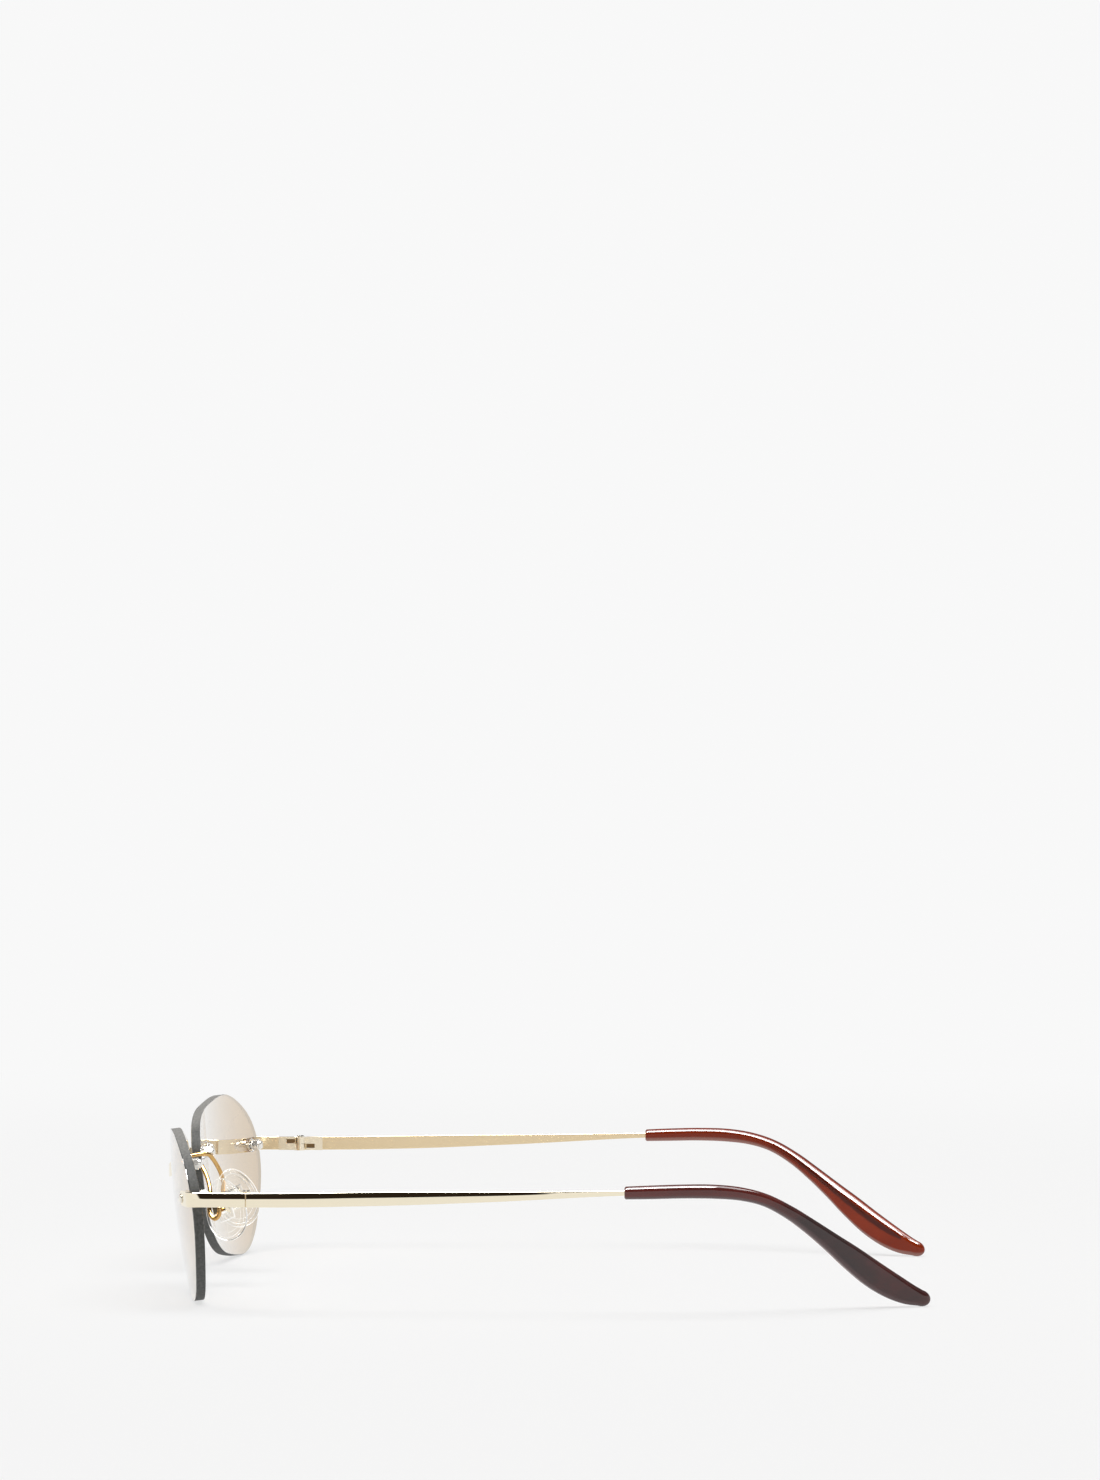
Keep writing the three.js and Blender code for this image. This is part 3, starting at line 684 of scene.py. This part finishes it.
def endpiece(side):
    u, v = TEMPORAL_HOLE
    wide = 2 * LUG_RADIUS
    stations = [
        lug_station(u - LUG_RADIUS + inset, v, strip_section(LUG_THICK, height, 0, 0.16))
        for inset, height in rounded_end(wide)
    ]
    stations += [lug_station(u + s, v, strip_section(LUG_THICK, wide, 0)) for s in (1.2, 3.4, 3.5)]
    start, start_up, _ = stations[-1]
    along = (start - stations[-2][0]).normalized()
    run = (STRIP_X - start.x) / along.x
    corner = start + along * run
    corner.z = STRIP_Z
    turn_end = Vector((STRIP_X, corner.y + run, STRIP_Z))
    steps = 28
    for i, at in enumerate(bezier(start, corner, turn_end, steps)[1:]):
        t = (i + 1) / steps
        thickness, height = lerp(LUG_THICK, STRIP_THICK, t), lerp(wide, STRIP_HIGH, t)
        section = strip_section(thickness, height, ROOF * max(0, 2 * t - 1))
        stations.append((at, start_up.lerp(UP, t), section))
    for y in (corner.y + run + 1, SEAM_Y - 0.14, SEAM_Y - 0.1):
        section = strip_section(STRIP_THICK, STRIP_HIGH, ROOF)
        stations.append((Vector((STRIP_X, y, STRIP_Z)), UP, section))
    bore = rod(LUG_BORE, -LUG_THICK - 1, 0.5, hole_frame(*TEMPORAL_HOLE))
    mesh = solid(plain_mesh("strip", loft(sweep(stations))), cut=[bore])
    place(
        f"{side}_endpiece_fine", mesh, side, "front", f"{side}_endpiece", "gold_metal", GOLD,
        GOLD_INSIDE_PAINTED_SHADE, sharp=50,
    )  # fmt: skip
    # Faces turned inward and back take the darker gold of painted shade.
    inward = -SIDES[side]
    for polygon in mesh.polygons:
        inner = polygon.normal.x * inward + polygon.normal.y
        polygon.material_index = 1 if inner > 0.9 else 0


def bridge():
    u, v = NASAL_HOLE
    height, thick = 2.6, 1.1
    middle = Vector((0, -7.5, 21.6))
    stations = [
        lug_station(u + LUG_RADIUS - inset, v, strip_section(LUG_THICK, h, 0, 0.16))
        for inset, h in rounded_end(height)
    ]
    stations.append(lug_station(u - 1, v, strip_section(LUG_THICK, height, 0)))
    stations.append(lug_station(u - 2, v, strip_section(LUG_THICK, height, 0)))
    start, start_up, _ = stations[-1]
    steps = 26
    arch = bezier(start, Vector((start.x * 0.55, middle.y, middle.z)), middle, steps)
    for i, at in enumerate(arch[1:]):
        t = (i + 1) / steps
        section = strip_section(lerp(LUG_THICK, thick, t), height, 0)
        stations.append((at, start_up.lerp(UP, t), section))
    left = stations[::-1]
    flip = Vector((-1, 1, 1))
    right = [(at * flip, up * flip, section) for at, up, section in left[1:]][::-1]
    frame_left = hole_frame(*NASAL_HOLE)
    bores = [
        rod(LUG_BORE, -LUG_THICK - 1, 0.5, m)
        for m in (frame_left, Matrix.Diagonal((-1, 1, 1, 1)) @ frame_left)
    ]
    mesh = solid(plain_mesh("strip", loft(sweep(right + left))), cut=bores)
    place("bridge_fine", mesh, "left", "front", "bridge", "gold_metal", GOLD, sharp=50)


# ---- temple, tip and hinge --------------------------------------------------------------

# y, x and z of the middle, height, thickness
TEMPLE = [
    (13.1, 68.6, 21.5, 2.76, 1.2), (24, 68.6, 21.58, 2.76, 1.2), (35, 68.6, 21.8, 2.72, 1.2),
    (42, 68.85, 21.94, 2.6, 1.15), (52, 69.3, 22.2, 2.27, 1.1), (61, 69.6, 22.43, 1.93, 1.05),
    (71, 69.85, 22.78, 1.5, 1), (80, 70, 23.1, 1.13, 0.95), (85, 70, 23.24, 1, 0.9),
    (90, 70, 23.38, 0.9, 0.85),
]  # fmt: skip
# x, y and z of the middle, height, thickness, here and in CORE
TIP = [
    (70, 85.2, 23.24, 2.5, 2.45), (70, 90, 23.38, 2.65, 2.6), (69.6, 96, 23.53, 2.7, 2.6),
    (68.6, 102, 23.42, 2.75, 2.6), (67, 107, 22.85, 2.6, 2.65), (65.2, 111.5, 21.55, 2.5, 2.7),
    (63.2, 116, 19.07, 2.66, 2.75), (60.8, 120, 16.15, 3.1, 2.8), (58.3, 124, 12.93, 3.84, 2.9),
    (55.9, 128, 9.6, 4.85, 3), (53.8, 132, 6.4, 5.35, 3), (52.3, 135.5, 4.1, 5.1, 2.9),
    (51.3, 138.5, 2.55, 4.3, 2.7), (50.6, 141, 1.65, 3.2, 2.4),
]  # fmt: skip
CORE = [
    (70, 90, 23.38, 0.9, 0.85), (69.6, 96, 23.53, 0.9, 0.8), (68.6, 102, 23.42, 0.9, 0.8),
    (67, 107, 22.85, 0.9, 0.8), (65.2, 111.5, 21.55, 0.9, 0.8), (63.2, 116, 19.1, 0.9, 0.8),
    (60.8, 120, 16.25, 1, 0.8), (58.3, 124, 13.25, 1.1, 0.8), (55.9, 128, 10.2, 1.2, 0.8),
    (53.8, 132, 7.35, 1.25, 0.8), (52.3, 135.5, 5.15, 1.1, 0.8), (51.6, 137.8, 3.95, 0.8, 0.7),
]  # fmt: skip


def temple(side):
    stations = []
    for y, x, z, height, thickness in catmull(TEMPLE, 8):
        roof = ROOF * max(0, (height - 1) / (STRIP_HIGH - 1))
        stations.append((Vector((x, y, z)), UP, strip_section(thickness, height, roof)))
    for x, y, z, height, thickness in catmull(CORE, 6)[1:]:
        stations.append((Vector((x, y, z)), UP, strip_section(thickness, height, 0)))
    mesh = plain_mesh("strip", loft(sweep(stations)))
    place(
        f"{side}_temple_fine", mesh, side, f"{side}_temple", f"{side}_temple", "gold_metal",
        GOLD, GOLD_INSIDE_PAINTED_SHADE, sharp=50,
    )  # fmt: skip
    # Faces turned inward take the darker gold of painted shade.
    inward = -SIDES[side]
    for polygon in mesh.polygons:
        polygon.material_index = 1 if polygon.normal.x * inward > 0.8 else 0


def tip_section(thickness, height, sides=64):
    """Oval along the slim part; flat faces with a broad bevel above and below on the paddle."""
    a, b = thickness / 2, height / 2
    inset, reach = a * 0.52, min(0.75, b * 0.45)
    paddle = min(1.0, max(0.0, (height - 2.8) / 1.6))
    points = []
    for k in range(sides):
        angle = 2 * math.pi * k / sides
        way = Vector((a * math.cos(angle), b * math.sin(angle))).normalized()
        x, y = abs(way.x), abs(way.y)
        oval = ((x / a) ** 2.25 + (y / b) ** 2.25) ** (-1 / 2.25)
        limit = (a - inset) / inset + (b - reach) / reach + 1
        bevel = (x / inset + y / reach) / limit
        flat = ((x / a) ** 18 + (y / b) ** 18 + bevel**18) ** (-1 / 18)
        reach_out = way * lerp(oval, flat, paddle)
        points.append((reach_out.x, reach_out.y))
    return points


def temple_tip(side):
    rows = catmull(TIP, 10)
    shrink = 0.983  # the sections are a little lower than the rows say
    body = [
        (Vector((x, y, z)), UP, tip_section(t, h * shrink), h) for x, y, z, h, t in rows
    ]
    last, _, _, _ = body[-1]
    along = (last - body[-2][0]).normalized()
    _, _, _, end_height, end_thickness = TIP[-1]
    for k in range(1, 12):
        t = math.sin(math.radians(90 * k / 12))
        share = math.sqrt(1 - t * t)
        section = tip_section(end_thickness * share, end_height * share * shrink)
        body.append((last + along * (2.06 * t), UP, section, end_height))
    x, y, z, height, thickness = TIP[0]
    mouth = []
    for back, less in ((0.25, 0.5), (0.2, 0.34), (0.12, 0.18), (0.05, 0.07)):
        section = tip_section(thickness - less, (height - less) * shrink)
        mouth.append((Vector((x, y - back, z)), UP, section, height))
    stations = mouth + body
    rings = sweep([s[:3] for s in stations])
    mesh = plain_mesh("tip", loft(rings))

    # How far each point lies over the core wire, for the darker streak in ACETATE_IN
    core_rows = catmull(CORE, 8)
    values = []
    for vertex in mesh.vertices:
        near = min(core_rows, key=lambda r: (r[1] - vertex.co.y) ** 2 + (r[2] - vertex.co.z) ** 2)
        _, y, z, core_height, _ = near
        distance = math.hypot(y - vertex.co.y, z - vertex.co.z)
        past = max(0.0, vertex.co.y - core_rows[-1][1])
        soft = (core_height * 0.5 - distance - past * 0.3) / 0.3 + 0.5
        inside = min(1.0, max(0.0, (vertex.co.y - 108) / 10))
        values.append(min(1.0, max(0.0, soft)) * inside)
    attribute = mesh.attributes.new("core", "FLOAT", "POINT")
    attribute.data.foreach_set("value", values)
    sides = len(rings[0])
    quarter = sides // 4
    outer = [not quarter <= i % sides < 3 * quarter for i in range(len(mesh.polygons))]
    place(
        f"{side}_tip_fine", mesh, side, f"{side}_temple", f"{side}_temple_tip", "acetate",
        ACETATE_OUT, ACETATE_IN, sharp=60, weighted=False,
    )  # fmt: skip
    for polygon, is_outer in zip(mesh.polygons, outer):
        polygon.material_index = 0 if is_outer else 1


HINGE_X, HINGE_LEAN, LEAF_TOP = 66.9, 1, 1.36
HINGE_MATRIX = Matrix.Translation((HINGE_X, SEAM_Y, STRIP_Z)) @ Matrix.Rotation(
    math.radians(HINGE_LEAN), 4, "Y"
)


def hinge_leaf(side, body, node, direction, upper):
    """Leaf on the strip, in front of the seam or behind it, with the upper or lower knuckle."""
    top, split, inner, outer = LEAF_TOP, 0.05, 67.3, 67.98
    low, high = STRIP_Z - top, STRIP_Z + top

    def span(a, b):
        return sorted((SEAM_Y + direction * a, SEAM_Y + direction * b))

    (p0, p1), (w0, w1), (c0, c1) = span(1.2, 4.6), span(0.05, 1.3), span(1.1, 2.95)
    half = (STRIP_Z + split, high) if upper else (low, STRIP_Z - split)
    other = (low + 0.45, STRIP_Z - split) if upper else (STRIP_Z + split, high - 0.45)
    knuckle = (
        rod(0.98, split, top, HINGE_MATRIX) if upper else rod(0.98, -top, -split, HINGE_MATRIX)
    )
    mesh = solid(
        box_mesh((inner, p0, low), (outer, p1, high)),
        add=[box_mesh((66.4, w0, half[0]), (outer, w1, half[1])), knuckle],
        cut=[
            box_mesh((inner - 1, c0, other[0]), (outer - 0.15, c1, other[1])),
            rod(0.5, -3, 3, HINGE_MATRIX),
        ],
        bevel=0.06,
    )
    # Pocket faces take the dark gold of painted shade.
    pocket = [
        c0 - 0.02 < p.center.y < c1 + 0.02
        and other[0] - 0.02 < p.center.z < other[1] + 0.02
        and inner + 0.1 < p.center.x < outer - 0.1
        for p in mesh.polygons
    ]
    place(
        f"{side}_{node}_fine", mesh, side, body, f"{side}_{node}", "gold_metal", LEAF_GOLD, RECESS_PAINTED_SHADE
    )
    for polygon, is_pocket in zip(mesh.polygons, pocket):
        polygon.material_index = 1 if is_pocket else 0


def hinge_screw(side):
    top, radius = LEAF_TOP, 0.45
    head = turned(
        [
            (0, -top + 0.05), (radius - 0.08, -top + 0.05), (radius, -top + 0.15),
            (radius, top + 0.06), (0.77, top + 0.06), (0.8, top + 0.09), (0.8, top + 0.22),
            (0.75, top + 0.32), (0.62, top + 0.38), (0.35, top + 0.41), (0, top + 0.42),
        ],
        matrix=HINGE_MATRIX,
    )  # fmt: skip
    groove = box_mesh((-1, -0.1, top + 0.24), (1, 0.1, top + 1))
    groove.transform(HINGE_MATRIX)
    place(
        f"{side}_hinge_screw_fine", solid(head, cut=[groove]), side, "front",
        f"{side}_hinge_screw", "polished_hardware", HARDWARE,
    )  # fmt: skip


# ---- nose pads --------------------------------------------------------------------------

PAD_HEIGHT, PAD_WIDTH, PAD_THICK = 12.9, 8.6, 2.0
PIVOT_Y, PIVOT_BORE = 1.75, 0.36


def pad_matrix():
    """Frame of the left pad: +X forward, +Y away from the nose, +Z up along the pad."""
    up = Vector((-0.33, -0.28, 0.9)).normalized()
    away = Vector((0.93, -0.3, 0))
    away = (away - up * away.dot(up)).normalized()
    front = away.cross(up)
    return Matrix.Translation((13.2, 4.4, 14.8)) @ Matrix((front, away, up)).transposed().to_4x4()


PAD_MATRIX = pad_matrix()
PIVOT = Matrix.Translation((0, PIVOT_Y, 0)) @ Matrix.Rotation(math.pi / 2, 4, "Y")


def pad_ring(scale, y, sides=72):
    points = []
    for i in range(sides):
        angle = 2 * math.pi * i / sides
        x = math.cos(angle) * (PAD_WIDTH / 2) * (1 - 0.14 * math.sin(angle))
        points.append((x * scale, y, math.sin(angle) * (PAD_HEIGHT / 2) * scale))
    return points


def nose_pad(side):
    half = PAD_THICK / 2
    profile = catmull(
        [
            (0.3, -half), (0.55, -half * 0.985), (0.78, -half * 0.86), (0.92, -half * 0.56),
            (0.985, -half * 0.2), (0.998, 0.1), (0.985, half * 0.4), (0.95, half * 0.62),
            (0.925, half * 0.68), (0.895, half * 0.46), (0.865, half * 0.32), (0.83, half * 0.38),
            (0.795, half * 0.62), (0.765, half * 0.64), (0.73, half * 0.4), (0.7, half * 0.34),
            (0.6, half * 0.42), (0.5, half * 0.48),
            (0.3, half * 0.52),
        ],
        3,
    )  # fmt: skip
    cushion = plain_mesh("pad", loft([pad_ring(s, y) for s, y in profile]))
    recess = box_mesh((-1.65, half * 0.2, -2.3), (1.65, half + 1, 2.3))
    mesh = solid(cushion, cut=[recess])
    mesh.transform(PAD_MATRIX)
    place(
        f"{side}_pad_fine", mesh, side, f"{side}_pad", f"{side}_nose_pad", "silicone", SILICONE,
        weighted=False, sharp=65,
    )  # fmt: skip

    floor = PAD_THICK * 0.1 + 0.05
    boss = solid(
        box_mesh((-1.55, floor, -2.2), (1.55, floor + 0.5, 2.2)),
        add=[box_mesh((-0.75, floor + 0.4, -0.85), (0.75, PIVOT_Y + 0.8, 0.85))],
        cut=[rod(PIVOT_BORE, -3, 3, PIVOT)],
        bevel=0.12,
    )
    boss.transform(PAD_MATRIX)
    place(
        f"{side}_boss_fine", boss, side, f"{side}_pad", f"{side}_pad_boss", "clear_plastic", CLEAR
    )


def pad_holder(side):
    """Fork round the boss, and its screw."""
    inside, wall, plate, half = 1.0, 0.35, 2.95, 1.15
    outer = inside + wall
    holder = solid(
        box_mesh((-outer, 0.95, -half), (outer, plate + wall, half)),
        cut=[
            box_mesh((-inside, 0, -half - 1), (inside, plate, half + 1)),
            rod(PIVOT_BORE, -3, 3, PIVOT),
        ],
        bevel=0.1,
    )
    screw = turned(
        [
            (0, -outer - 0.1), (0.27, -outer - 0.1), (0.3, -outer - 0.06), (0.3, outer + 0.05),
            (0.52, outer + 0.05), (0.55, outer + 0.08), (0.55, outer + 0.28), (0.5, outer + 0.36),
            (0.4, outer + 0.4), (0, outer + 0.42),
        ],
        matrix=PIVOT,
    )  # fmt: skip
    for word, mesh, kind, look in (
        ("pad_holder", holder, "gold_metal", GOLD),
        ("pad_screw", screw, "polished_hardware", HARDWARE),
    ):
        mesh.transform(PAD_MATRIX)
        place(f"{side}_{word}_fine", mesh, side, "front", f"{side}_{word}", kind, look)


ARM_RADIUS = 0.44
ARM_ROUTE = [
    (8.9, -5.5, 22.9), (9, -4.5, 23.5), (9.2, -2.8, 23.85), (10.1, -1.2, 23.8),
    (11.2, -0.3, 22.7), (12.7, 0.8, 20.5), (14.3, 1.4, 18.1), (15.5, 1.3, 15.7),
    (16.5, 1.7, 13.9), (17.15, 2.6, 13.3), (17.35, 3.4, 14.1), (17.2, 3.45, 15.3),
]  # fmt: skip


def pad_arm(side):
    mesh = plain_mesh("wire", loft(tube(catmull(ARM_ROUTE, 9), ARM_RADIUS)))
    place(
        f"{side}_pad_arm_fine", mesh, side, "front", f"{side}_pad_arm", "gold_metal", ARM_GOLD_PAINTED_SHADE,
        weighted=False, sharp=60,
    )  # fmt: skip


# ---- build ------------------------------------------------------------------------------

for side in SIDES:
    lens(side)
    fasteners(side, "endpiece", TEMPORAL_HOLE)
    fasteners(side, "bridge", NASAL_HOLE)
    endpiece(side)
    temple(side)
    temple_tip(side)
    hinge_leaf(side, "front", "front_hinge_leaf", -1, False)
    hinge_leaf(side, f"{side}_temple", "temple_hinge_leaf", 1, True)
    hinge_screw(side)
    nose_pad(side)
    pad_holder(side)
    pad_arm(side)
bridge()

# ---- floor, light and camera ------------------------------------------------------------


def floor():
    """White ground that takes shadows near the part and fades to the plain backdrop."""
    size = 30
    mesh = bpy.data.meshes.new("floor")
    corners = [(-size, -size, 0), (size, -size, 0), (size, size, 0), (-size, size, 0)]
    mesh.from_pydata(corners, [], [(0, 1, 2, 3)])
    obj = bpy.data.objects.new("floor", mesh)
    bpy.context.scene.collection.objects.link(obj)
    material = bpy.data.materials.new("floor")
    material.use_nodes = True
    tree = material.node_tree
    tree.nodes.clear()
    output = tree.nodes.new("ShaderNodeOutputMaterial")
    diffuse = add_node(material, "ShaderNodeBsdfDiffuse", Color=(0.22, 0.22, 0.22, 1))
    glow = add_node(material, "ShaderNodeEmission", Strength=0.67)
    both = tree.nodes.new("ShaderNodeAddShader")
    far = add_node(material, "ShaderNodeEmission", Strength=WHITE)
    mix = tree.nodes.new("ShaderNodeMixShader")
    coords = tree.nodes.new("ShaderNodeTexCoord")
    length = tree.nodes.new("ShaderNodeVectorMath")
    length.operation = "LENGTH"
    link(material, coords.outputs["Object"], length.inputs[0])
    link(material, map_range(material, length.outputs["Value"], 0.12, 0.6), mix.inputs[0])
    link(material, diffuse.outputs[0], both.inputs[0])
    link(material, glow.outputs[0], both.inputs[1])
    link(material, both.outputs[0], mix.inputs[1])
    link(material, far.outputs[0], mix.inputs[2])
    link(material, mix.outputs[0], output.inputs["Surface"])
    mesh.materials.append(material)


def surroundings():
    """White low down all round, darker overhead, and two soft boxes above."""
    world = bpy.data.worlds.new("studio")
    bpy.context.scene.world = world
    world.use_nodes = True
    tree = world.node_tree
    background = tree.nodes["Background"]
    coords = tree.nodes.new("ShaderNodeTexCoord")
    split = tree.nodes.new("ShaderNodeSeparateXYZ")
    tree.links.new(coords.outputs["Generated"], split.inputs[0])
    high = map_range(world, split.outputs["Z"], 0.2, 0.3)
    near = map_range(world, split.outputs["X"], -0.2, 0.3)
    overhead = blend_color(world, near, (0.16, 0.155, 0.15), (0.022, 0.015, 0.009))
    sky = blend_color(world, high, (WHITE, WHITE, WHITE), overhead)
    tree.links.new(sky, background.inputs["Color"])
    background.inputs["Strength"].default_value = 1.0

    soft_box("soft box", location=(0, 0, 1.1), size=(0.7, 1.6), energy=17)
    gloss = soft_box("gloss box", location=(0.34, -0.4, 1.02), size=(0.42, 1.6), energy=42)
    gloss.rotation_euler = (0, math.radians(18), 0)
    gloss.visible_diffuse = False
    gloss.visible_transmission = False


def soft_box(name, location, size, energy):
    data = bpy.data.lights.new(name, "AREA")
    data.shape = "RECTANGLE"
    data.size, data.size_y = size
    data.energy = energy
    obj = bpy.data.objects.new(name, data)
    obj.location = location
    bpy.context.scene.collection.objects.link(obj)
    return obj


def camera():
    data = bpy.data.cameras.new("camera")
    obj = bpy.data.objects.new("camera", data)
    bpy.context.scene.collection.objects.link(obj)
    data.lens = 173.55
    data.sensor_width = 36
    data.clip_start = 0.01
    obj.location = (1.4162, 0.05952, 0.1395)
    yaw, pitch = math.radians(2.389), math.radians(1.301)
    forward = Vector(
        (-math.cos(pitch) * math.cos(yaw), -math.cos(pitch) * math.sin(yaw), -math.sin(pitch))
    )
    obj.rotation_euler = forward.to_track_quat("-Z", "Y").to_euler()
    bpy.context.scene.camera = obj


floor()
surroundings()
camera()
bpy.context.scene.view_settings.view_transform = "Standard"

bpy.context.view_layer.update()
